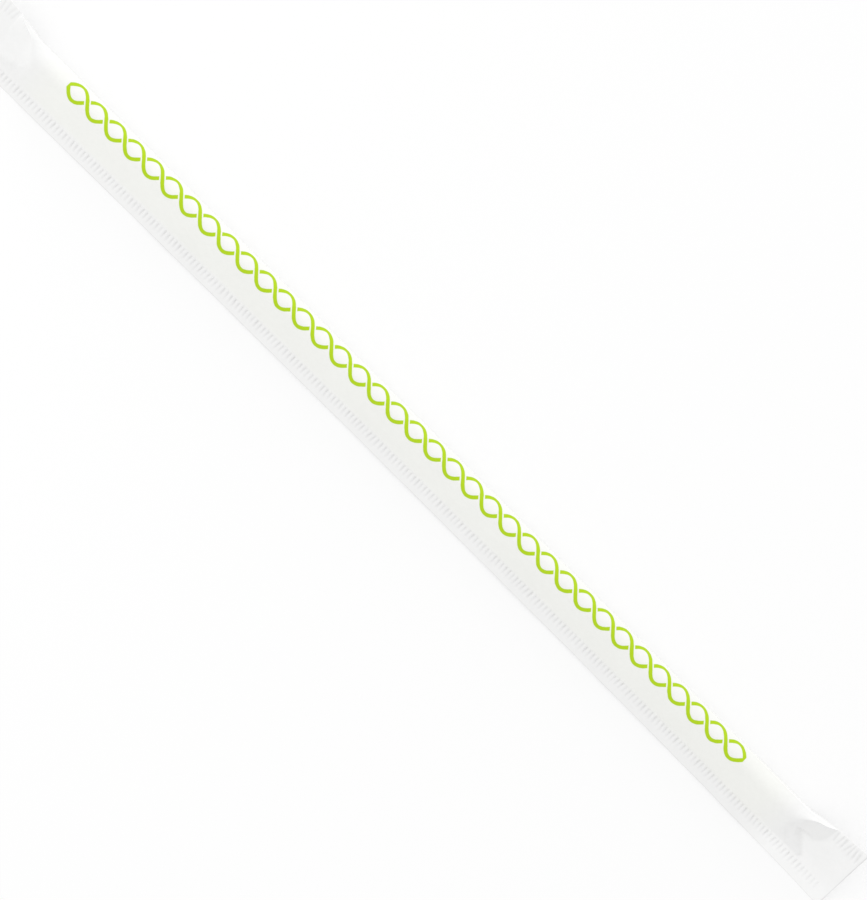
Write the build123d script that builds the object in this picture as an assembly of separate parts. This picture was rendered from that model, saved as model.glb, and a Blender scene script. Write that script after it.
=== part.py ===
from build123d import *
from math import asin, atan2, cos, degrees, hypot, pi, sin
import os

# Wrapped drinking straw: one paper web folded round a straw, its long edges crimped together
# in a fin seam and both ends flattened and crimped shut. Sizes are in millimetres.
# It is drawn with the straw's axis on X and the seam in the XY plane on the -Y side, and then
# laid down: the tube touches the surface all along and the fin leans down to it.

# The straw inside gives the tube its bore and its length
straw_length = 196.85
straw_diameter = 5.8
paper_thickness = 0.05

# Lengths along the wrapper, from each end of the straw outwards
straw_end_slack = 5.4
shoulder_length = 8.0
end_seal_length = 7.75

# Widths across the wrapper
flat_width = 14.5
seal_taper = 0.55
seal_corner_radius = 0.5
panel_gap = 2.5
seam_crimp_length = 1.95
seam_margin_left = 0.75
seam_margin_right = 1.65

# The full tube draws the seam inwards; towards the flat ends it eases out again by this much
seam_bow = 1.0
bow_power_left = 1.5
bow_power_right = 4.0
bow_stations = 9

# The shoulders collapse from the round tube to the flat end seal, a share of it evenly from the
# tube's end on and the rest late, with a pinched crease in each panel whose share of the way
# from the seam to the fold drifts
flatten_even = 0.12
flatten_power = 2.5
pinch_depth = 0.45
pinch_place_tube = 0.85
pinch_place_seal = 0.5
shoulder_stations = 7

# Crimp teeth, pressed in alternate steps from the front and from the back
crimp_pitch = 1.0
tooth_width = 0.5
tooth_height = 0.12
seam_crimp_setback = 3.0
end_crimp_length = 2.2
end_crimp_margin = 0.7
end_crimp_setback = 0.4

# The paper under the straw gives way by this much where the wrapper lies on a surface
rest_crush = 0.01

# Sizes that follow from those above
tube_radius = straw_diameter / 2 + paper_thickness
tube_half = straw_length / 2 + straw_end_slack
seal_start = tube_half + shoulder_length
half_length = seal_start + end_seal_length
seam_margin_middle = (seam_margin_left + seam_margin_right) / 2
edge_reach_middle = tube_radius + panel_gap + seam_crimp_length + seam_margin_middle
edge_reach_end = edge_reach_middle + seam_bow
fold_reach = flat_width - edge_reach_end
seal_reach = fold_reach - seal_taper

# Two plies make the fin. The hollow forms run into it with a thinner lip, so that they cross
# its faces at an angle, and the end seals lap a share of the shoulders.
lip_share = 0.4
lap_share = 0.1
ply_lip = lip_share * paper_thickness
shoulder_lap = lap_share * shoulder_length


def edge_reach(x):
    """Distance from the straw's axis to the fin's cut edge at station x."""
    power = bow_power_left if x < 0 else bow_power_right
    return edge_reach_middle + seam_bow * abs(x / half_length) ** power


def seam_reach(x):
    """Distance from the straw's axis to the inner line of the seam's crimp at station x."""
    along = (x / half_length + 1) / 2
    margin = seam_margin_left + (seam_margin_right - seam_margin_left) * along
    return edge_reach(x) - margin - seam_crimp_length


def section(x, flatness=0.0):
    """Outline at station x: a round fold whose panels run off as tangents to the seam.

    At flatness 0 the fold is the full tube, and at 1 it lies flat.
    """
    radius = tube_radius + (ply_lip - tube_radius) * flatness
    reach = tube_radius + (seal_reach - tube_radius) * flatness
    pinch_place = pinch_place_tube + (pinch_place_seal - pinch_place_tube) * flatness
    pinch = pinch_depth * sin(pi * flatness)
    seam = seam_reach(x)
    centre = reach - radius
    lean = asin(radius / hypot(centre + seam, ply_lip)) - atan2(ply_lip, centre + seam)
    lip = Vector(x, -seam, ply_lip)
    tangent = Vector(x, centre - radius * sin(lean), radius * cos(lean))
    crease = lip + (tangent - lip) * pinch_place + Vector(0, sin(lean), -cos(lean)) * pinch
    front = [lip, crease, tangent]
    back = [Vector(x, point.Y, -point.Z) for point in reversed(front)]
    outline = [
        *Polyline(*front).edges(),
        ThreePointArc(tangent, (x, reach, 0), back[0]),
        *Polyline(*back).edges(),
        Line(back[-1], lip),
    ]
    return Wire(outline)


def tube():
    """The round part over the straw, with its two panels drawn down to the bowed seam."""
    step = 2 * tube_half / (bow_stations - 1)
    stations = [-tube_half + step * count for count in range(bow_stations)]
    return Solid.make_loft([section(x) for x in stations], ruled=True)


def shoulder(side):
    """The collapse from the round tube to the flat end seal on one side, -1 or +1."""
    outlines = []
    for count in range(shoulder_stations):
        share = count / (shoulder_stations - 1)
        x = side * (tube_half + share * shoulder_length)
        flatness = flatten_even * share + (1 - flatten_even) * share**flatten_power
        outlines.append(section(x, flatness))
    return Solid.make_loft(outlines)


def flat_sheet():
    """The two plies lying together: the fin along the whole length and both end seals."""
    step = half_length / bow_stations
    stations = [step * count for count in range(-bow_stations, bow_stations + 1)]
    cut_edge = Spline(*[(x, -edge_reach(x)) for x in stations])
    lap_start = seal_start - shoulder_lap
    lap_slope = (flatten_power + 1) * (seal_reach - tube_radius) / shoulder_length
    lap_reach = seal_reach - shoulder_lap * lap_slope
    rest = Polyline(
        (half_length, -edge_reach_end),
        (half_length, fold_reach),
        (seal_start, seal_reach),
        (lap_start, lap_reach),
        (lap_start, 0),
        (-lap_start, 0),
        (-lap_start, lap_reach),
        (-seal_start, seal_reach),
        (-half_length, fold_reach),
        (-half_length, -edge_reach_end),
    )
    plies = make_face(cut_edge + rest)
    fold_corners = plies.vertices().group_by(Axis.Y)[-1]
    return extrude(fillet(fold_corners, seal_corner_radius), amount=paper_thickness, both=True)


def tooth(length):
    """One crimp tooth: a ridge of triangular section along Y that stands on the fin's face."""
    foot = tooth_width / 2 * (1 + paper_thickness / tooth_height)
    crest = paper_thickness + tooth_height
    ridge = Polyline((-foot, 0, 0), (0, 0, crest), (foot, 0, 0), close=True)
    return extrude(make_face(ridge), amount=length, dir=(0, 1, 0))


def crimp_row(first, last, length, start_of):
    """Teeth from station first to last, by turns on the front and the back of the plies."""
    front = tooth(length)
    back = front.rotate(Axis.Y, 180)
    teeth = []
    for count in range(int((last - first) / crimp_pitch * 2) + 1):
        x = first + count * crimp_pitch / 2
        blank = front if count % 2 == 0 else back
        teeth.append(blank.moved(Location((x, start_of(x), 0))))
    return teeth


def crimps():
    """The seam's row of teeth and the short row beside the fold on each end seal."""
    seam_last = half_length - seam_crimp_setback
    teeth = crimp_row(
        -seam_last, seam_last, seam_crimp_length, lambda x: -seam_reach(x) - seam_crimp_length
    )
    row_start = fold_reach - end_crimp_margin - end_crimp_length
    first = seal_start + end_crimp_setback
    last = half_length - end_crimp_setback
    teeth += crimp_row(first, last, end_crimp_length, lambda x: row_start)
    teeth += crimp_row(-last, -first, end_crimp_length, lambda x: row_start)
    return teeth


def surface():
    """A block whose top is the surface that the wrapper lies on."""
    return Box(
        2 * half_length, 2 * flat_width, tube_radius, align=(Align.CENTER, Align.CENTER, Align.MAX)
    )


def wrapper():
    """The whole wrapper, leaning about the straw so that the fin's end corners touch down."""
    axis_height = tube_radius - rest_crush
    corner = hypot(edge_reach_end, paper_thickness)
    lean = asin(axis_height / corner) - atan2(paper_thickness, edge_reach_end)
    lay_down = Pos(0, 0, axis_height) * Rot(X=degrees(lean))
    hollow = tube().fuse(shoulder(-1), shoulder(1)) - lay_down.inverse() * surface()
    laid = lay_down * hollow.fuse(flat_sheet()).fuse(*crimps())
    middle = laid.bounding_box().center()
    return Pos(-middle.X, -middle.Y, 0) * laid


os.makedirs("parts", exist_ok=True)
export_step(wrapper(), "parts/wrapped_straw.step")
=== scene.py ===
"""Looks of a wrapped drinking straw: the folded paper web with its crimped seam and ends.

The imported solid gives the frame. One paper piece stands for it: a flat blank of mesh is folded
round the straw in the way the real web is, its crimps and creases are pressed in, and it is
closed along its cut edges. The web's lengths are in millimetres until its mesh is written in
metres, and the studio's are in metres unless their names say otherwise.
"""

import logging
import math
from dataclasses import dataclass
from enum import Enum

import bpy
import numpy as np
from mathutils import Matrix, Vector

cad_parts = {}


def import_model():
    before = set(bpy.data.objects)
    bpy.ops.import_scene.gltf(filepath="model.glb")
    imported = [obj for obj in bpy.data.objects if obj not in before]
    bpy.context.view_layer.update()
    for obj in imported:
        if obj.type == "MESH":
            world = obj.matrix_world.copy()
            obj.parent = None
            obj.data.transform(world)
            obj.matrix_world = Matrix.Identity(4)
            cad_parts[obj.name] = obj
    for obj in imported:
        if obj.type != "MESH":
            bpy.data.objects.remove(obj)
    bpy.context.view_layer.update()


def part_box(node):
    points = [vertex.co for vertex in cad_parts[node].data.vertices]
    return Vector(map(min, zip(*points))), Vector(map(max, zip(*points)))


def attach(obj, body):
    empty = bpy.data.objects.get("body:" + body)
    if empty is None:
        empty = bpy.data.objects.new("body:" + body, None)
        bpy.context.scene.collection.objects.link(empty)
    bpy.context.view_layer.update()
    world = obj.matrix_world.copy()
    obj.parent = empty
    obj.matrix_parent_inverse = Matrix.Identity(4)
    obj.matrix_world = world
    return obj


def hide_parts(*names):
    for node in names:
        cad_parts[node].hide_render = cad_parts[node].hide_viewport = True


LOG = logging.getLogger("wrapped_straw")
MM = 0.001
NODE = "wrapped_straw"
BODY = "root"
PIECE = "paper_wrapper"
PAPER_SLOT = "wrapper_paper"
PHOTO_WIDTH_PX = 867
PHOTO_HEIGHT_PX = 900

# What the piece's mesh carries for its material
FLAT_MAP = "flat_sheet"
PRESSED = "pressed"
PARTED = "parted"

# Side of the flat blank, and the share of the sheet's width that only the closing strip exceeds
BLANK_SIDE = 1.0
HALF_SHEET = 0.5

# Sockets of the Mix node for colours, whose names its other sockets share
MIX_SHARE = 0
MIX_START = 6
MIX_END = 7
MIX_RESULT = 2
OPAQUE = 1.0

Colour = tuple[float, float, float]
Range = tuple[float, float]
Socket = bpy.types.NodeSocket
Value = Socket | float
Tint = Socket | Colour


class Strip(Enum):
    """The strips of one ply, from its cut edge to the fold."""

    MARGIN = "margin"
    CRIMP = "crimp"
    LOWER_PANEL = "lower panel"
    UPPER_PANEL = "upper panel"
    FOLD = "fold"


FRONT_COLUMNS = {
    Strip.MARGIN: 2,
    Strip.CRIMP: 5,
    Strip.LOWER_PANEL: 10,
    Strip.UPPER_PANEL: 10,
    Strip.FOLD: 8,
}
BACK_COLUMNS = {
    Strip.MARGIN: 1,
    Strip.CRIMP: 5,
    Strip.LOWER_PANEL: 4,
    Strip.UPPER_PANEL: 4,
    Strip.FOLD: 6,
}


class Maths(Enum):
    """The Math node's operations that the patterns use."""

    ADD = "ADD"
    SUBTRACT = "SUBTRACT"
    MULTIPLY = "MULTIPLY"
    SINE = "SINE"
    COSINE = "COSINE"
    INVERSE_ROOT = "INVERSE_SQRT"
    SIZE = "ABSOLUTE"
    ABOVE = "GREATER_THAN"
    MOST = "MAXIMUM"


@dataclass(frozen=True)
class Ramp:
    """An eased ramp that rises from 0 to 1 between two places."""

    low: float
    high: float

    def at(self, place: np.ndarray) -> np.ndarray:
        """Height of the ramp.

        Args:
            place: Places on the ramp or to either side of it.

        Returns:
            Heights from 0 to 1.
        """
        share = np.clip((place - self.low) / (self.high - self.low), 0.0, 1.0)
        return share * share * (3.0 - 2.0 * share)


@dataclass(frozen=True)
class Wave:
    """One wave of a ripple: factors on its turns and phase, a shift in radians and a weight."""

    turns: float
    phase: float
    shift: float
    weight: float


RIPPLE_WAVES = (
    Wave(turns=1.0, phase=1.0, shift=0.0, weight=0.5),
    Wave(turns=1.618, phase=2.1, shift=1.0, weight=0.3),
    Wave(turns=2.718, phase=3.7, shift=2.0, weight=0.2),
)


@dataclass(frozen=True)
class Ripple:
    """An uneven wave along the straw, made of three waves that never fall in step."""

    height: float
    wavelength: float
    phase: float

    def at(self, place: np.ndarray) -> np.ndarray:
        """Height of the ripple.

        Args:
            place: Places along the straw.

        Returns:
            Heights, up and down from 0.
        """
        turn = 2.0 * math.pi / self.wavelength
        total = np.zeros_like(place)
        for wave in RIPPLE_WAVES:
            angle = wave.turns * turn * place + wave.phase * self.phase + wave.shift
            total += wave.weight * np.sin(angle)
        return self.height * total


@dataclass(frozen=True)
class Crease:
    """A short raised crease, alike in both shoulders, from one point of the front to another.

    A point is given by how far it lies past the end of the tube, and by its place across.
    """

    start: tuple[float, float]
    end: tuple[float, float]
    height: float
    width: float

    def relief(self, past_tube: np.ndarray, y: np.ndarray) -> np.ndarray:
        """Height of the crease over the web.

        Args:
            past_tube: Places along the straw, from the end of the tube outwards.
            y: Places across it.

        Returns:
            Heights in millimetres.
        """
        start_x, start_y = self.start
        end_x, end_y = self.end
        run_x = end_x - start_x
        run_y = end_y - start_y
        from_x = past_tube - start_x
        from_y = y - start_y
        along = (from_x * run_x + from_y * run_y) / (run_x * run_x + run_y * run_y)
        nearest = np.clip(along, 0.0, 1.0)
        off_x = from_x - nearest * run_x
        off_y = from_y - nearest * run_y
        return self.height * np.exp(-(off_x * off_x + off_y * off_y) / self.width**2)


@dataclass(frozen=True)
class Line:
    """A line of the web along the straw: its places across, above and on the flat sheet."""

    y: np.ndarray
    z: np.ndarray
    flat: np.ndarray

    def toward(self, other: "Line", share: float) -> "Line":
        """The line that lies a share of the way to another one.

        Args:
            other: The other line.
            share: 0 for this line, 1 for the other.

        Returns:
            The line between them.
        """
        return Line(
            self.y + (other.y - self.y) * share,
            self.z + (other.z - self.z) * share,
            self.flat + (other.flat - self.flat) * share,
        )

    def behind(self) -> "Line":
        """The same line in the back ply."""
        return Line(self.y, -self.z, -self.flat)


@dataclass(frozen=True)
class FoldArc:
    """The rounded fold at each station: a part of an ellipse, with the panel as its tangent."""

    centre: np.ndarray
    breadth: np.ndarray
    crown: np.ndarray
    radius: np.ndarray
    lean: np.ndarray

    def line(self, share: float) -> Line:
        """The line that lies a share of the way round the fold.

        Args:
            share: 0 where the panel meets the fold, 1 at the folded edge.

        Returns:
            The line.
        """
        angle = (math.pi / 2.0 + self.lean) * (1.0 - share)
        across = self.centre + self.breadth * np.cos(angle)
        return Line(across, self.crown * np.sin(angle), self.radius * angle)


@dataclass
class PaperWeb:
    """The wrapper: one web of paper folded round the straw, crimped along a fin and at its ends."""

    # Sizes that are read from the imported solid
    length: float
    tube_radius: float
    fin_side: float

    # Sizes that the solid was made with
    rest_crush: float = 0.01
    ply: float = 0.05
    shoulder_length: float = 8.0
    end_seal_length: float = 7.75
    flat_width: float = 14.5
    seal_taper: float = 0.55
    seal_corner_radius: float = 0.5
    panel_gap: float = 2.5
    seam_crimp_length: float = 1.95
    seam_margin_left: float = 0.75
    seam_margin_right: float = 1.65
    seam_bow: float = 1.0
    bow_power_left: float = 1.5
    bow_power_right: float = 4.0
    flatten_even: float = 0.12
    flatten_power: float = 2.5
    pinch_depth: float = 0.45
    pinch_place_tube: float = 0.85
    pinch_place_seal: float = 0.5
    crimp_pitch: float = 1.0
    seam_crimp_setback: float = 3.0
    end_crimp_length: float = 2.2
    end_crimp_margin: float = 0.7
    end_crimp_setback: float = 0.4

    # The fold, drawn tighter and lower along a part of the shoulder
    fold_tighten: float = 0.93
    fold_settle: float = 0.17
    fold_ramp: Ramp = Ramp(-0.1, 0.55)

    # The crimp's grooves, uneven in depth and slant, and fainter at their tails and on the seals
    rows_per_pitch: int = 7
    crimp_rise: float = 0.03
    crimp_depth: float = 0.27
    groove_width: float = 0.19
    row_softness: float = 0.12
    row_ragged: Ripple = Ripple(0.12, 2.7, 0.2)
    press_mean: float = 0.78
    press_swing: Ripple = Ripple(0.22, 3.1, 1.7)
    seam_slant: Ripple = Ripple(0.14, 23.0, 0.4)
    end_slant: Ripple = Ripple(0.3, 5.3, 0.4)
    crimp_tail: float = 0.55
    tail_ramp: Ramp = Ramp(0.8, 1.4)
    sealed_fade: float = 0.35
    sealed_ramp: Ramp = Ramp(0.8, 1.5)
    left_crimp_share: float = 0.5
    right_crimp_share: float = 0.8

    # Slow bends of the fin, of its cut edge and of the end seals
    edge_ripple: Ripple = Ripple(0.04, 19.0, 0.6)
    fin_ripple: Ripple = Ripple(0.1, 31.0, 0.9)
    fin_ramp: Ramp = Ramp(0.0, 3.0)
    seal_hinge_rise: float = 0.3
    seal_hinge_groove: float = 0.07
    seal_hinge_width: float = 0.3
    seal_hinge_ramp: Ramp = Ramp(0.55, 1.05)

    # The wedge and tuck at the right shoulder, and the short creases in both shoulders, which have
    # their full height this many plies above the seam's plane
    wedge_setback: float = 3.2
    wedge_top_y: float = -0.8
    wedge_foot_y: float = -5.6
    wedge_slope: float = 0.6
    tuck_width: float = 0.6
    crease_full_plies: float = 1.6
    shoulder_creases: tuple[Crease, ...] = (
        Crease(start=(0.6, -2.9), end=(2.6, -5.2), height=0.16, width=0.26),
        Crease(start=(2.2, -3.6), end=(4.2, -5.5), height=0.1, width=0.26),
        Crease(start=(3.4, -4.1), end=(7.4, -5.3), height=0.3, width=0.9),
    )

    # Heights over the seam's plane, in plies and as a length, between which the plies part
    closed_plies: float = 1.2
    parted_gap: float = 0.25

    smooth_angle_deg: float = 50.0

    @property
    def half_length(self) -> float:
        """Half of the wrapper's length."""
        return self.length / 2.0

    @property
    def seal_start(self) -> float:
        """Distance from the middle to the inner line of each end seal."""
        return self.half_length - self.end_seal_length

    @property
    def tube_half(self) -> float:
        """Distance from the middle to where the round tube starts to collapse."""
        return self.seal_start - self.shoulder_length

    @property
    def seam_margin_middle(self) -> float:
        """Width of the margin beside the seam's crimp at mid length."""
        return (self.seam_margin_left + self.seam_margin_right) / 2.0

    @property
    def edge_reach_middle(self) -> float:
        """Distance from the straw's axis to the fin's cut edge at mid length."""
        return self.tube_radius + self.panel_gap + self.seam_crimp_length + self.seam_margin_middle

    @property
    def edge_reach_end(self) -> float:
        """Distance from the straw's axis to the fin's cut edge at both ends."""
        return self.edge_reach_middle + self.seam_bow

    @property
    def fold_reach(self) -> float:
        """Distance from the straw's axis to the folded edge at the cut ends."""
        return self.flat_width - self.edge_reach_end

    @property
    def axis_height(self) -> float:
        """Height of the straw's axis over the surface."""
        return self.tube_radius - self.rest_crush

    @property
    def lean(self) -> float:
        """Angle, in radians, by which the fin leans down to the surface."""
        corner = math.hypot(self.edge_reach_end, self.ply)
        return math.asin(self.axis_height / corner) - math.atan2(self.ply, self.edge_reach_end)

    @property
    def axis_y(self) -> float:
        """Place of the straw's axis across the footprint, counted from the fin's side of it."""
        reach = self.edge_reach_end * math.cos(self.lean) + self.ply * math.sin(self.lean)
        return self.fin_side + reach

    def edge_reach(self, x: np.ndarray) -> np.ndarray:
        """Distance from the axis to the fin's cut edge."""
        power = np.where(x < 0.0, self.bow_power_left, self.bow_power_right)
        return self.edge_reach_middle + self.seam_bow * np.abs(x / self.half_length) ** power

    def seam_reach(self, x: np.ndarray) -> np.ndarray:
        """Distance from the axis to the inner line of the seam's crimp.

        Args:
            x: Places along the straw.

        Returns:
            The distance at each place.
        """
        along = (x / self.half_length + 1.0) / 2.0
        margin = self.seam_margin_left + (self.seam_margin_right - self.seam_margin_left) * along
        return self.edge_reach(x) - margin - self.seam_crimp_length

    def shoulder_share(self, x: np.ndarray) -> np.ndarray:
        """Share of the way along the shoulders: under 0 over the straw, over 1 at the end seals."""
        return (np.abs(x) - self.tube_half) / self.shoulder_length

    def flatness(self, x: np.ndarray) -> np.ndarray:
        """How far the tube has collapsed: 0 over the straw, 1 at the end seals."""
        share = np.clip(self.shoulder_share(x), 0.0, 1.0)
        return self.flatten_even * share + (1.0 - self.flatten_even) * share**self.flatten_power

    def fold_line(self, x: np.ndarray) -> np.ndarray:
        """Distance from the axis to the folded edge, with its taper and its rounded end corners.

        Args:
            x: Places along the straw.

        Returns:
            The distance at each place.
        """
        seal_reach = self.fold_reach - self.seal_taper
        collapsed = self.tube_radius + (seal_reach - self.tube_radius) * self.flatness(x)
        past = np.clip((np.abs(x) - self.seal_start) / self.end_seal_length, 0.0, 1.0)
        corner = self.seal_corner_radius
        into = np.clip(np.abs(x) - self.half_length + corner, 0.0, corner)
        rounded = corner - np.sqrt(corner * corner - into * into)
        return collapsed + self.seal_taper * past - rounded

    def fold_arc(self, x: np.ndarray) -> FoldArc:
        """The rounded fold, drawn tighter where the tube collapses.

        Args:
            x: Stations along the straw.

        Returns:
            The fold at each station.
        """
        radius = self.tube_radius + (self.ply - self.tube_radius) * self.flatness(x)
        tight = self.fold_ramp.at(self.shoulder_share(x))
        breadth = radius * (1.0 - self.fold_tighten * tight)
        crown = radius * (1.0 - self.fold_settle * tight)
        to_seam = self.fold_line(x) - radius + self.seam_reach(x)
        lean = np.arcsin(radius / np.hypot(to_seam, self.ply)) - np.arctan2(self.ply, to_seam)
        return FoldArc(self.fold_line(x) - breadth, breadth, crown, radius, lean)

    def panel_crease(self, x: np.ndarray, lip: Line, arc: FoldArc) -> Line:
        """The crease along the front panel, pinched inwards where the tube collapses.

        Args:
            x: Stations along the straw.
            lip: The line where the panel leaves the seam.
            arc: The fold that the panel runs up to.

        Returns:
            The crease's line.
        """
        tangent = arc.line(0.0)
        run_y = tangent.y - lip.y
        run_z = tangent.z - lip.z
        hinge_place = (self.wedge_top_y - lip.y) / run_y
        place = np.clip(hinge_place, self.pinch_place_seal, self.pinch_place_tube)
        pinch = self.pinch_depth * np.sin(math.pi * self.flatness(x))
        return Line(
            lip.y + place * run_y + np.sin(arc.lean) * pinch,
            lip.z + place * run_z - np.cos(arc.lean) * pinch,
            tangent.flat + (1.0 - place) * np.hypot(run_y, run_z),
        )

    def ply_lines(self, x: np.ndarray, columns: dict[Strip, int]) -> list[Line]:
        """The front ply as lines along the straw, from its cut edge to the fold.

        Args:
            x: Stations along the straw, one for each row of mesh.
            columns: Columns of mesh in each strip.

        Returns:
            The lines, one for each column.
        """
        seam = self.seam_reach(x)
        edge = self.edge_reach(x) + self.edge_ripple.at(x)
        arc = self.fold_arc(x)
        level = np.full_like(x, self.ply)
        crimp_y = -seam - self.seam_crimp_length
        cut_edge = Line(-edge, level, np.full_like(x, self.flat_width))
        crimp_line = Line(crimp_y, level, self.flat_width - edge - crimp_y)
        lip = Line(-seam, level, self.flat_width - edge + seam)
        crease = self.panel_crease(x, lip, arc)
        flat_strips = {
            Strip.MARGIN: (cut_edge, crimp_line),
            Strip.CRIMP: (crimp_line, lip),
            Strip.LOWER_PANEL: (lip, crease),
            Strip.UPPER_PANEL: (crease, arc.line(0.0)),
        }
        lines = []
        for strip, (first, second) in flat_strips.items():
            for count in range(columns[strip]):
                lines.append(first.toward(second, count / columns[strip]))
        for count in range(columns[Strip.FOLD] + 1):
            lines.append(arc.line(count / columns[Strip.FOLD]))
        return lines

    def crimp_rows(self, x: np.ndarray, y: np.ndarray) -> np.ndarray:
        """Where the seam's crimp row and the short end rows lie, alike in both plies.

        Args:
            x: Places along the straw.
            y: Places across it.

        Returns:
            1 inside a row and 0 outside, with soft edges.
        """
        soft = self.row_softness * self.seam_crimp_length
        ragged = self.row_ragged.at(x)
        from_middle = np.abs(x)
        into_seam = -self.seam_reach(x) - y
        seam_row = Ramp(0.0, soft).at(into_seam)
        seam_row *= Ramp(0.0, soft).at(self.seam_crimp_length + ragged - into_seam)
        seam_row *= 1.0 - (1.0 - self.crimp_tail) * self.tail_ramp.at(into_seam + ragged)
        seam_last = self.half_length - self.seam_crimp_setback
        seam_row *= 1.0 - Ramp(seam_last, seam_last + soft).at(from_middle)
        seam_row *= 1.0 - self.sealed_fade * self.sealed_ramp.at(self.shoulder_share(x))
        row_end = self.fold_reach - self.end_crimp_margin
        row_start = row_end - self.end_crimp_length
        end_row = Ramp(-soft, soft).at(y - row_start + ragged)
        end_row *= Ramp(-soft, soft).at(row_end - y)
        first = self.seal_start + self.end_crimp_setback
        end_row *= Ramp(first - soft, first).at(from_middle)
        last = self.half_length - self.end_crimp_setback
        end_row *= 1.0 - Ramp(last, last + soft).at(from_middle)
        end_row *= np.where(x < 0.0, self.left_crimp_share, self.right_crimp_share)
        return seam_row + end_row

    def crimp_press(self, x: np.ndarray, y: np.ndarray) -> np.ndarray:
        """How deep the crimp's teeth press the paper, as a share of their full depth.

        Args:
            x: Places along the straw.
            y: Places across it.

        Returns:
            Shares from 0 between the teeth to 1 under a tooth.
        """
        seam_slant = self.seam_slant.at(x) * (y + self.seam_reach(x))
        end_slant = self.end_slant.at(x) * (y - self.fold_reach + self.end_crimp_length)
        slant = np.where(y < 0.0, seam_slant, end_slant)
        off_groove = np.mod(x + slant, self.crimp_pitch) - self.crimp_pitch / 2.0
        uneven = self.press_mean + self.press_swing.at(x)
        tooth = np.exp(-((off_groove / self.groove_width) ** 2))
        return tooth * uneven * self.crimp_rows(x, y)

    def sheet_relief(self, x: np.ndarray, y: np.ndarray) -> np.ndarray:
        """Slow bends that both plies share: the fin's ripple, and each seal's hinge line.

        Args:
            x: Places along the straw.
            y: Places across it.

        Returns:
            Heights in millimetres.
        """
        fin = self.fin_ripple.at(x) * self.fin_ramp.at(-y - self.seam_reach(x))
        sealed = self.seal_hinge_ramp.at(self.shoulder_share(x))
        past_hinge = y - (self.fold_line(x) - self.seam_reach(x)) / 2.0
        share = np.clip(past_hinge / self.fold_reach, 0.0, 1.0)
        groove = self.seal_hinge_groove * np.exp(-((past_hinge / self.seal_hinge_width) ** 2))
        return fin + (self.seal_hinge_rise * share - groove) * sealed

    def wedge_height(self, x: np.ndarray, y: np.ndarray) -> np.ndarray:
        """Most that the front ply may stand up where it folds down to the flat of the right seal.

        Below the hinge line the flat of the seal runs on into the shoulder as a wedge that points
        at the straw. The ply rises from its slanting side as a facet, and at the hinge line the
        upper part of the shoulder stands over it as a tuck. The left shoulder has none.

        Args:
            x: Places along the straw.
            y: Places across it.

        Returns:
            Heights in millimetres.
        """
        tip = self.tube_half + self.wedge_setback
        run = self.seal_start - tip
        fall = self.wedge_top_y - self.wedge_foot_y
        below = self.wedge_top_y - y
        off_wedge = (below * run - (x - tip) * fall) / math.hypot(run, fall)
        tuck = self.tube_radius * Ramp(0.0, self.tuck_width).at(-below)
        before_tip = self.tube_radius * Ramp(0.0, self.wedge_setback).at(tip - x)
        return np.maximum(self.ply, self.wedge_slope * off_wedge) + tuck + before_tip

    def front_lines(self, x: np.ndarray) -> list[Line]:
        """The front ply with its creases raised and its right shoulder folded down to the wedge.

        Args:
            x: Stations along the straw.

        Returns:
            The lines, from the cut edge to the fold.
        """
        past_tube = np.abs(x) - self.tube_half
        off_seam = Ramp(self.ply, self.crease_full_plies * self.ply)
        lines = []
        for line in self.ply_lines(x, FRONT_COLUMNS):
            lift = sum(crease.relief(past_tube, line.y) for crease in self.shoulder_creases)
            raised = line.z + lift * off_seam.at(line.z)
            lines.append(Line(line.y, np.minimum(raised, self.wedge_height(x, line.y)), line.flat))
        return lines

    def back_lines(self, x: np.ndarray) -> list[Line]:
        """The back ply, from the fold, whose edge the front ply has, to its cut edge."""
        return [line.behind() for line in reversed(self.ply_lines(x, BACK_COLUMNS)[:-1])]

    def fold(self) -> tuple[np.ndarray, np.ndarray, dict[str, np.ndarray]]:
        """The folded web, row by row along the straw and round from cut edge to cut edge.

        Returns:
            Places of the mesh in the object's frame, in metres, its flat map from 0 to 1, and
            by name how deep the crimp presses it and where its plies part, each with a row for
            each station and a column for each line round the web.
        """
        rows = round(self.length / self.crimp_pitch * self.rows_per_pitch) + 1
        stations = np.linspace(-self.half_length, self.half_length, rows)
        around = self.front_lines(stations) + self.back_lines(stations)
        x = np.repeat(stations[:, None], len(around), axis=1)
        y = np.stack([line.y for line in around], axis=1)
        off_plane = np.stack([line.z for line in around], axis=1)
        flat = np.stack([line.flat for line in around], axis=1)
        press = self.crimp_press(x, y)
        parted = Ramp(self.closed_plies * self.ply, self.parted_gap).at(np.abs(off_plane))
        crimp = self.crimp_rise * self.crimp_rows(x, y) - self.crimp_depth * press
        z = off_plane + crimp + self.sheet_relief(x, y)
        laid_y = y * math.cos(self.lean) - z * math.sin(self.lean) + self.axis_y
        laid_z = y * math.sin(self.lean) + z * math.cos(self.lean) + self.axis_height
        places = np.stack([x, laid_y, np.maximum(laid_z, 0.0)], axis=2) * MM
        map_u = (x + self.half_length) / self.length
        map_v = (flat + self.flat_width) / (2.0 * self.flat_width)
        return places, np.stack([map_u, map_v], axis=2), {PRESSED: press, PARTED: parted}

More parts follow.
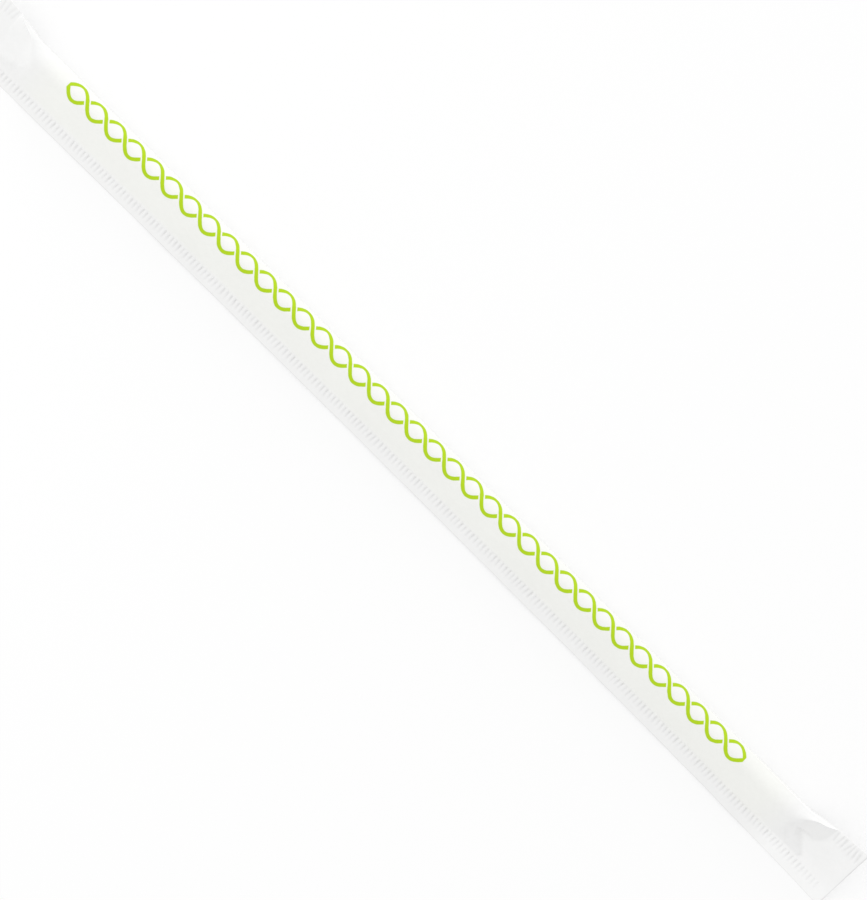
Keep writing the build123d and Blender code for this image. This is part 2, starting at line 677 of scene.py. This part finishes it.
    def build(self) -> bpy.types.Object:
        """Model the web: a flat blank, folded, closed along its cut edges and smoothed.

        Returns:
            The finished piece, with its flat map.
        """
        places, flat_map, states = self.fold()
        rows, columns = places.shape[:2]
        bpy.ops.object.select_all(action="DESELECT")
        bpy.ops.mesh.primitive_grid_add(
            x_subdivisions=rows - 1,
            y_subdivisions=columns - 1,
            size=BLANK_SIDE,
            location=(0.0, 0.0, 0.0),
        )
        piece = bpy.context.object
        piece.name = PIECE
        mesh = piece.data
        mesh.name = PIECE
        blank = np.empty(len(mesh.vertices) * 3)
        mesh.vertices.foreach_get("co", blank)
        share = (blank.reshape(-1, 3) + BLANK_SIDE / 2.0) / BLANK_SIDE
        row = np.rint(share[:, 0] * (rows - 1)).astype(int)
        column = np.rint(share[:, 1] * (columns - 1)).astype(int)
        mesh.vertices.foreach_set("co", places[row, column].ravel())
        self.close(piece, row, column)
        self.write_map(mesh, flat_map[row, column])
        for name, state in states.items():
            values = mesh.attributes.new(name, "FLOAT", "POINT")
            values.data.foreach_set("value", state[row, column])
        bpy.ops.object.shade_smooth_by_angle(angle=math.radians(self.smooth_angle_deg))
        mesh.update()
        return piece

    @staticmethod
    def select_edges(piece: bpy.types.Object, chosen: np.ndarray) -> None:
        """Select the edges between chosen vertices, ready to be edited.

        Args:
            piece: The piece, which is the active object.
            chosen: Whether each vertex is chosen.
        """
        bpy.ops.object.mode_set(mode="EDIT")
        bpy.ops.mesh.select_mode(type="EDGE")
        bpy.ops.mesh.select_all(action="DESELECT")
        bpy.ops.object.mode_set(mode="OBJECT")
        for edge in piece.data.edges:
            first, second = edge.vertices
            edge.select = bool(chosen[first] and chosen[second])
        bpy.ops.object.mode_set(mode="EDIT")

    def close(self, piece: bpy.types.Object, row: np.ndarray, column: np.ndarray) -> None:
        """Close the folded blank: the fin's two cut edges, then the two cut ends.

        Args:
            piece: The folded blank.
            row: Row of each vertex.
            column: Column of each vertex.
        """
        self.select_edges(piece, (column == 0) | (column == column.max()))
        bpy.ops.mesh.bridge_edge_loops()
        for cut_end in (row == 0, row == row.max()):
            self.select_edges(piece, cut_end)
            bpy.ops.mesh.fill(use_beauty=True)
        bpy.ops.mesh.select_all(action="SELECT")
        bpy.ops.mesh.normals_make_consistent(inside=False)
        bpy.ops.object.mode_set(mode="OBJECT")

    @staticmethod
    def write_map(mesh: bpy.types.Mesh, flat_map: np.ndarray) -> None:
        """Write the flat map, with the strip along the cut edge kept on the front ply's edge.

        Args:
            mesh: The closed web.
            flat_map: Place of each vertex on the flat sheet.
        """
        corners = np.empty(len(mesh.loops), dtype=int)
        mesh.loops.foreach_get("vertex_index", corners)
        places = flat_map[corners]
        for face in mesh.polygons:
            run = slice(face.loop_start, face.loop_start + face.loop_total)
            across = places[run, 1]
            if np.ptp(across) > HALF_SHEET:
                places[run, 1] = across.max()
        mesh.uv_layers.active.name = FLAT_MAP
        mesh.uv_layers.active.data.foreach_set("uv", places.ravel())


@dataclass(frozen=True)
class Grain:
    """Noise in the paper: grains in a metre, octaves, weight of the finer ones, and stretch."""

    scale: float
    detail: float
    roughness: float
    stretch: tuple[float, float, float] = (1.0, 1.0, 1.0)


class NodeSketch:
    """Short words for the shader nodes of one tree, so that a pattern reads as a formula."""

    def __init__(self, tree: bpy.types.NodeTree) -> None:
        """Keep the node tree."""
        self.tree = tree

    def link(self, source: Socket, target: Socket) -> None:
        """Join two sockets."""
        self.tree.links.new(source, target)

    def feed(self, socket: Socket, value: Value) -> None:
        """Give an input a number, or join it to a socket.

        Args:
            socket: The input.
            value: The number or the socket.
        """
        if isinstance(value, (int, float)):
            socket.default_value = value
        else:
            self.link(value, socket)

    def maths(self, operation: Maths, first: Value, second: Value = 0.0) -> Socket:
        """One Math node.

        Args:
            operation: What the node does.
            first: Its first value.
            second: Its second value, where the operation has one.

        Returns:
            The result.
        """
        node = self.tree.nodes.new("ShaderNodeMath")
        node.operation = operation.value
        self.feed(node.inputs[0], first)
        self.feed(node.inputs[1], second)
        return node.outputs["Value"]

    def add(self, first: Value, second: Value) -> Socket:
        """Sum of two values."""
        return self.maths(Maths.ADD, first, second)

    def multiply(self, first: Value, second: Value) -> Socket:
        """Product of two values."""
        return self.maths(Maths.MULTIPLY, first, second)

    def sine(self, angle: Value) -> Socket:
        """Sine of an angle in radians."""
        return self.maths(Maths.SINE, angle)

    def cosine(self, angle: Value) -> Socket:
        """Cosine of an angle in radians."""
        return self.maths(Maths.COSINE, angle)

    def inverse_root(self, value: Value) -> Socket:
        """One over the square root."""
        return self.maths(Maths.INVERSE_ROOT, value)

    def distance(self, first: Value, second: Value) -> Socket:
        """How far two values lie apart."""
        return self.maths(Maths.SIZE, self.maths(Maths.SUBTRACT, first, second))

    def above(self, value: Value, limit: float) -> Socket:
        """1 where a value is over a limit."""
        return self.maths(Maths.ABOVE, value, limit)

    def flip(self, mask: Value) -> Socket:
        """The rest of a mask."""
        return self.maths(Maths.SUBTRACT, 1.0, mask)

    def carve(self, mask: Value, gap: Value) -> Socket:
        """A mask with a gap cut out of it."""
        return self.multiply(mask, self.flip(gap))

    def most(self, first: Value, second: Value) -> Socket:
        """The larger of two values."""
        return self.maths(Maths.MOST, first, second)

    def span(self, value: Value, source: Range, target: Range) -> Socket:
        """A value moved from one range to another, and kept inside it.

        Args:
            value: The value.
            source: The range that it has.
            target: The range that it gets.

        Returns:
            The moved value.
        """
        node = self.tree.nodes.new("ShaderNodeMapRange")
        self.feed(node.inputs["Value"], value)
        limits = zip(("From Min", "From Max", "To Min", "To Max"), (*source, *target))
        for name, limit in limits:
            node.inputs[name].default_value = limit
        return node.outputs["Result"]

    def inside(self, value: Value, limit: float, softness: float) -> Socket:
        """1 where a value's size is under a limit, with a soft edge."""
        size = self.maths(Maths.SIZE, value)
        return self.span(size, (limit - softness, limit + softness), (1.0, 0.0))

    def mix_values(self, first: Value, second: Value, share: Value) -> Socket:
        """A value that turns into another as the share goes from 0 to 1."""
        return self.add(self.carve(first, share), self.multiply(share, second))

    def blend(self, first: Tint, second: Tint, share: Socket) -> Socket:
        """A colour that turns into another as the share goes from 0 to 1.

        Args:
            first: The colour at 0.
            second: The colour at 1.
            share: The share.

        Returns:
            The colour between them.
        """
        node = self.tree.nodes.new("ShaderNodeMix")
        node.data_type = "RGBA"
        self.link(share, node.inputs[MIX_SHARE])
        for place, tint in ((MIX_START, first), (MIX_END, second)):
            if isinstance(tint, tuple):
                node.inputs[place].default_value = (*tint, OPAQUE)
            else:
                self.link(tint, node.inputs[place])
        return node.outputs[MIX_RESULT]

    def brighten(self, colour: Socket, factor: Socket) -> Socket:
        """A colour times a value.

        Args:
            colour: The colour.
            factor: The value.

        Returns:
            The brighter or darker colour.
        """
        node = self.tree.nodes.new("ShaderNodeVectorMath")
        node.operation = "SCALE"
        self.link(colour, node.inputs["Vector"])
        self.link(factor, node.inputs["Scale"])
        return node.outputs["Vector"]

    def flat_place(self, sheet_length: float, sheet_width: float) -> tuple[Socket, Socket]:
        """Place on the flat sheet, from its flat map.

        Args:
            sheet_length: Length of the flat sheet, in millimetres.
            sheet_width: Width of the flat sheet, in millimetres.

        Returns:
            The place along the sheet from its middle, and the place across it from the fold.
        """
        place = self.tree.nodes.new("ShaderNodeUVMap")
        place.uv_map = FLAT_MAP
        mapping = self.tree.nodes.new("ShaderNodeMapping")
        mapping.inputs["Scale"].default_value = (sheet_length, sheet_width, 1.0)
        mapping.inputs["Location"].default_value = (-sheet_length / 2.0, -sheet_width / 2.0, 0.0)
        parts = self.tree.nodes.new("ShaderNodeSeparateXYZ")
        self.link(place.outputs["UV"], mapping.inputs["Vector"])
        self.link(mapping.outputs["Vector"], parts.inputs["Vector"])
        return parts.outputs["X"], parts.outputs["Y"]

    def attribute(self, name: str) -> Socket:
        """A value that the mesh carries.

        Args:
            name: The attribute's name.

        Returns:
            The value.
        """
        node = self.tree.nodes.new("ShaderNodeAttribute")
        node.attribute_name = name
        return node.outputs["Fac"]

    def noise(self, grain: Grain) -> Socket:
        """Noise in the piece's own space.

        Args:
            grain: Its scale and kind.

        Returns:
            The noise, from 0 to 1.
        """
        place = self.tree.nodes.new("ShaderNodeTexCoord")
        mapping = self.tree.nodes.new("ShaderNodeMapping")
        mapping.inputs["Scale"].default_value = grain.stretch
        node = self.tree.nodes.new("ShaderNodeTexNoise")
        node.inputs["Scale"].default_value = grain.scale
        node.inputs["Detail"].default_value = grain.detail
        node.inputs["Roughness"].default_value = grain.roughness
        self.link(place.outputs["Object"], mapping.inputs["Vector"])
        self.link(mapping.outputs["Vector"], node.inputs["Vector"])
        return node.outputs["Fac"]

    def bump(self, height: Socket, strength: float, depth: float) -> Socket:
        """Normal of a relief.

        Args:
            height: The relief, from 0 to 1.
            strength: How much of it shows.
            depth: Its depth in metres.

        Returns:
            The normal.
        """
        node = self.tree.nodes.new("ShaderNodeBump")
        node.inputs["Strength"].default_value = strength
        node.inputs["Distance"].default_value = depth
        self.link(height, node.inputs["Height"])
        return node.outputs["Normal"]

    def seen_rays(self) -> Socket:
        """Mask of the rays that show a surface to the camera, straight or by gloss or glass.

        Returns:
            The mask.
        """
        path = self.tree.nodes.new("ShaderNodeLightPath")
        straight = self.most(path.outputs["Is Camera Ray"], path.outputs["Is Glossy Ray"])
        return self.most(straight, path.outputs["Is Transmission Ray"])


@dataclass(frozen=True)
class PaperFinish:
    """Uncoated white wrapping paper, printed with a band of two interlaced waves."""

    # Tones of the paper, and where and how softly one turns into another, on the fin by the
    # distance from its cut edge. Part is painted light and shade: the right seal and the right end
    # of the fin are painted lighter, where more light falls, and the hollow shoulders painted darker
    double_paper: Colour = (0.905, 0.905, 0.9)
    single_paper: Colour = (0.898, 0.902, 0.871)
    hollow_painted_shade: Colour = (0.885, 0.885, 0.88)
    left_seal_paper: Colour = (0.905, 0.905, 0.9)
    right_seal_painted_light: Colour = (0.935, 0.935, 0.93)
    right_fin_painted_light: Colour = (0.968, 0.968, 0.963)
    fin_start: float = 6.0
    fin_full: float = 2.0
    seam_softness: float = 0.6
    seal_softness: float = 3.0
    hollow_setback: float = 3.0
    hollow_softness: float = 4.0

    # Grain, mottle and relief
    tone: Grain = Grain(scale=900.0, detail=4.0, roughness=0.6)
    cloud: Grain = Grain(scale=140.0, detail=2.0, roughness=0.5)
    fibre: Grain = Grain(scale=5200.0, detail=3.0, roughness=0.65, stretch=(0.35, 1.0, 1.0))
    grain_range: Range = (0.3, 0.7)
    cloud_range: Range = (0.35, 0.65)
    tone_mottle: float = 0.6
    cloud_mottle: float = 0.4
    mottle_shade: Range = (0.98, 1.015)
    tone_relief: float = 0.65
    fibre_relief: float = 0.35
    bump_strength: float = 0.35
    bump_depth: float = 0.04
    specular: float = 0.12
    roughness: float = 0.82
    roughness_swing: float = 0.08

    # Painted shade: darker rims along the cut edges, and darker pressed grooves of the crimp
    cut_rim: float = 0.16
    cut_edge_painted_shade: float = 0.15
    end_rim: float = 0.32
    end_edge_painted_shade: float = 0.24
    rim_uneven: Range = (0.6, 1.2)
    groove_painted_shade: float = 0.13

    # The printed band
    ink: Colour = (0.455, 0.665, 0.008)
    ink_density: Range = (0.98, 1.0)
    ink_roughness: float = 0.6
    band_start: float = -95.6
    band_length: float = 184.8
    band_middle: float = 2.95
    periods: int = 18
    swing: float = 1.88
    stroke: float = 0.78
    gap: float = 0.26
    edge_softness: float = 0.05
    edge_wobble: float = 0.05
    wobble_range: Range = (0.2, 0.8)

    def material(self, web: PaperWeb) -> bpy.types.Material:
        """Make the paper.

        Args:
            web: The web that it covers.

        Returns:
            The material.
        """
        material = bpy.data.materials.new(PAPER_SLOT)
        material.use_nodes = True
        sketch = NodeSketch(material.node_tree)
        shader = material.node_tree.nodes["Principled BSDF"]
        shader.inputs["Specular IOR Level"].default_value = self.specular
        along, across = sketch.flat_place(web.length, 2.0 * web.flat_width)
        tone = sketch.noise(self.tone)
        cloud = sketch.noise(self.cloud)
        fibre = sketch.noise(self.fibre)
        printed = self.band_mask(sketch, along, across, tone)
        density = sketch.multiply(printed, sketch.span(fibre, self.grain_range, self.ink_density))
        paper = self.paper_tone_and_painted_light(sketch, web, along, across)
        colour = sketch.blend(paper, self.ink, density)
        coarse = sketch.multiply(cloud, self.cloud_mottle)
        mottle = sketch.add(sketch.multiply(tone, self.tone_mottle), coarse)
        # Painted shade, on top of the random mottle: darker rims along the cut edges
        rim = self.painted_edge_shade(sketch, web, along, across)
        rim = sketch.multiply(rim, sketch.span(cloud, self.cloud_range, self.rim_uneven))
        shade = sketch.carve(sketch.span(mottle, self.grain_range, self.mottle_shade), rim)
        # Painted shade: the crimp's grooves are darker the deeper they are pressed
        pressed = sketch.multiply(sketch.attribute(PRESSED), self.groove_painted_shade)
        shade = sketch.carve(shade, pressed)
        sketch.link(sketch.brighten(colour, shade), shader.inputs["Base Color"])
        dull_range = (self.roughness - self.roughness_swing, self.roughness + self.roughness_swing)
        dull = sketch.span(fibre, self.grain_range, dull_range)
        sketch.link(sketch.mix_values(dull, self.ink_roughness, density), shader.inputs["Roughness"])
        fine = sketch.multiply(fibre, self.fibre_relief)
        relief = sketch.add(fine, sketch.multiply(tone, self.tone_relief))
        normal = sketch.bump(relief, self.bump_strength, self.bump_depth * MM)
        sketch.link(normal, shader.inputs["Normal"])
        return material

    def paper_tone_and_painted_light(
        self, sketch: NodeSketch, web: PaperWeb, along: Socket, across: Socket
    ) -> Socket:
        """Paper colour: straw tints one ply, two are whiter; painted light and shade at the ends.

        Args:
            sketch: The material's nodes.
            web: The web that the paper covers.
            along: Place along the sheet, in millimetres.
            across: Distance from the fold, in millimetres, front positive.

        Returns:
            The colour.
        """
        seam = web.flat_width - web.seam_crimp_length - web.seam_margin_middle
        inside_seam = sketch.inside(across, seam, self.seam_softness)
        inside_seals = sketch.inside(along, web.tube_half, self.seal_softness)
        over_straw = sketch.multiply(inside_seam, inside_seals)
        middle = sketch.blend(self.double_paper, self.single_paper, over_straw)
        # Painted light: the right seal and the right end of the fin are lighter, where more light
        # falls
        fin_range = (web.flat_width - self.fin_start, web.flat_width - self.fin_full)
        lit_fin_share = sketch.span(across, fin_range, (0.0, 1.0))
        lit_right_seal = sketch.blend(self.right_seal_painted_light, self.right_fin_painted_light, lit_fin_share)
        seal = sketch.blend(self.left_seal_paper, lit_right_seal, sketch.above(along, 0.0))
        # Painted shade: the shoulders are darker where the plies stand apart
        ends = sketch.blend(seal, self.hollow_painted_shade, sketch.attribute(PARTED))
        hollow_start = web.tube_half - self.hollow_setback
        past_straw = sketch.flip(sketch.inside(along, hollow_start, self.hollow_softness))
        return sketch.blend(middle, ends, past_straw)

    def painted_edge_shade(
        self, sketch: NodeSketch, web: PaperWeb, along: Socket, across: Socket
    ) -> Socket:
        """Painted shade: narrow darker rims along the cut edges.

        Args:
            sketch: The material's nodes.
            web: The web that the paper covers.
            along: Place along the sheet, in millimetres.
            across: Distance from the fold, in millimetres, front positive.

        Returns:
            The share by which the rims are darker.
        """
        side = self.cut_rim / 2.0
        end = self.end_rim / 2.0
        off_side = sketch.flip(sketch.inside(across, web.flat_width - side, side))
        off_end = sketch.flip(sketch.inside(along, web.half_length - end, end))
        side_painted_shade = sketch.multiply(off_side, self.cut_edge_painted_shade)
        return sketch.most(side_painted_shade, sketch.multiply(off_end, self.end_edge_painted_shade))

    def band_mask(self, sketch: NodeSketch, along: Socket, across: Socket, tone: Socket) -> Socket:
        """Two interlaced waves, from the start to the end of the band.

        Args:
            sketch: The material's nodes.
            along: Place along the sheet, in millimetres.
            across: Distance from the fold, in millimetres, front positive.
            tone: Noise that makes the edges of the print a little uneven.

        Returns:
            The mask, 1 in the ink.
        """
        half_band = self.band_length / 2.0
        half_stroke = self.stroke / 2.0
        period = self.band_length / self.periods
        pace = 2.0 * math.pi / period
        run = sketch.add(along, -self.band_start)
        middle = sketch.add(run, -half_band)
        offset = sketch.add(across, -self.band_middle)
        turn = sketch.multiply(run, pace)
        wave = sketch.multiply(sketch.sine(turn), self.swing)
        steep = sketch.multiply(sketch.cosine(turn), self.swing * pace)
        squeeze = sketch.inverse_root(sketch.add(sketch.multiply(steep, steep), 1.0))
        wobble = sketch.span(tone, self.wobble_range, (-self.edge_wobble, self.edge_wobble))
        off_lines = []
        for line in (wave, sketch.multiply(wave, -1.0)):
            straight = sketch.multiply(sketch.distance(offset, line), squeeze)
            off_lines.append(sketch.add(straight, wobble))
        rise, fall = off_lines
        rise_over = sketch.above(sketch.cosine(turn), 0.0)
        crossing = sketch.inside(middle, half_band - period / 4.0, self.edge_softness)
        strands = []
        for own, other, under in ((rise, fall, sketch.flip(rise_over)), (fall, rise, rise_over)):
            stroke = sketch.inside(own, half_stroke, self.edge_softness)
            other_wide = sketch.inside(other, half_stroke + self.gap, self.edge_softness)
            hidden = sketch.multiply(other_wide, sketch.multiply(crossing, under))
            strands.append(sketch.carve(stroke, hidden))
        in_length = sketch.inside(middle, half_band, self.edge_softness)
        in_height = sketch.inside(offset, self.swing + self.stroke, self.edge_softness)
        return sketch.multiply(sketch.most(*strands), sketch.multiply(in_length, in_height))


@dataclass(frozen=True)
class Lamp:
    """A square soft light, by its place and its side in metres and its power in watts."""

    name: str
    place: tuple[float, float, float]
    side: float
    power: float

    def build(self) -> None:
        """Hang the lamp, turned to the middle of the floor."""
        light = bpy.data.lights.new(self.name, "AREA")
        light.shape = "SQUARE"
        light.size = self.side
        light.energy = self.power
        lamp = bpy.data.objects.new(self.name, light)
        lamp.location = self.place
        lamp.rotation_mode = "QUATERNION"
        lamp.rotation_quaternion = (-Vector(self.place)).to_track_quat("-Z", "Y")
        bpy.context.collection.objects.link(lamp)


@dataclass
class Studio:
    """Pale floor, soft light and a camera that looks straight down."""

    floor_side: float = 6.0
    floor_colour: Colour = (0.965, 0.965, 0.965)
    floor_glow_share: float = 0.6
    sky_colour: Colour = (1.0, 1.0, 1.0)
    sky_strength: float = 0.925
    scale_px_per_mm: float = 5.157
    lens_mm: float = 200.0
    sensor_mm: float = 36.0
    turn_deg: float = 45.0
    aim_x_mm: float = 4.3
    aim_y_mm: float = 0.62
    lamps: tuple[Lamp, ...] = (
        Lamp(name="key_lamp", place=(-1.45, 1.6, 0.48), side=0.8, power=11.6),
        Lamp(name="side_lamp", place=(-0.6, -0.12, 0.36), side=0.3, power=0.5),
    )

    def build(self, axis_y: float, axis_height: float) -> None:
        """Set up the stage.

        Args:
            axis_y: Place of the straw's axis across the footprint, in millimetres.
            axis_height: Height of the straw's axis, in millimetres.
        """
        self.build_floor()
        self.build_sky()
        for lamp in self.lamps:
            lamp.build()
        self.build_camera(axis_y, axis_height)
        bpy.context.scene.view_settings.view_transform = "Standard"

    def build_floor(self) -> None:
        """The floor: matt and pale, with part of its white its own so that shadows stay light."""
        bpy.ops.object.select_all(action="DESELECT")
        bpy.ops.mesh.primitive_plane_add(size=self.floor_side, location=(0.0, 0.0, 0.0))
        floor = bpy.context.object
        floor.name = "studio_floor"
        material = bpy.data.materials.new("studio_floor")
        material.use_nodes = True
        tree = material.node_tree
        sketch = NodeSketch(tree)
        matt = tree.nodes["Principled BSDF"]
        matt.inputs["Base Color"].default_value = (*self.floor_colour, OPAQUE)
        matt.inputs["Roughness"].default_value = 1.0
        matt.inputs["Specular IOR Level"].default_value = 0.0
        glow = tree.nodes.new("ShaderNodeEmission")
        mix = tree.nodes.new("ShaderNodeMixShader")
        glow_share, first_shader, second_shader = mix.inputs
        sketch.link(sketch.multiply(sketch.seen_rays(), self.floor_glow_share), glow_share)
        sketch.link(matt.outputs["BSDF"], first_shader)
        sketch.link(glow.outputs["Emission"], second_shader)
        sketch.link(mix.outputs["Shader"], tree.nodes["Material Output"].inputs["Surface"])
        floor.data.materials.append(material)

    def build_sky(self) -> None:
        """The soft light from all round, which the camera sees as white."""
        world = bpy.data.worlds.new("studio_sky")
        world.use_nodes = True
        bpy.context.scene.world = world
        sketch = NodeSketch(world.node_tree)
        rest_of_white = sketch.multiply(sketch.seen_rays(), 1.0 - self.sky_strength)
        background = world.node_tree.nodes["Background"]
        background.inputs["Color"].default_value = (*self.sky_colour, OPAQUE)
        sketch.link(sketch.add(rest_of_white, self.sky_strength), background.inputs["Strength"])

    def build_camera(self, axis_y: float, axis_height: float) -> None:
        """The camera, straight over the straw and turned so that it lies aslant in the frame.

        Args:
            axis_y: Place of the straw's axis across the footprint, in millimetres.
            axis_height: Height of the straw's axis, in millimetres.
        """
        data = bpy.data.cameras.new("camera")
        data.lens = self.lens_mm
        data.sensor_width = self.sensor_mm
        camera = bpy.data.objects.new("camera", data)
        seen_side = max(PHOTO_WIDTH_PX, PHOTO_HEIGHT_PX) / self.scale_px_per_mm
        distance = seen_side * self.lens_mm / self.sensor_mm
        place = (self.aim_x_mm, axis_y + self.aim_y_mm, axis_height + distance)
        camera.location = [value * MM for value in place]
        camera.rotation_euler = (0.0, 0.0, math.radians(self.turn_deg))
        bpy.context.collection.objects.link(camera)
        bpy.context.scene.camera = camera


def main() -> None:
    """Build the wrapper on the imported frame, dress it and set the stage."""
    logging.basicConfig(level=logging.INFO)
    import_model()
    low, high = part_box(NODE)
    length = (high.x - low.x) / MM
    height = (high.z - low.z) / MM
    radius = (height + PaperWeb.rest_crush) / 2.0
    web = PaperWeb(length=length, tube_radius=radius, fin_side=low.y / MM)
    wrapper = web.build()
    wrapper.data.materials.append(PaperFinish().material(web))
    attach(wrapper, BODY)
    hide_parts(NODE)
    LOG.info("%s: %d faces", wrapper.name, len(wrapper.data.polygons))
    Studio().build(web.axis_y, web.axis_height)


if __name__ == "__main__":
    main()
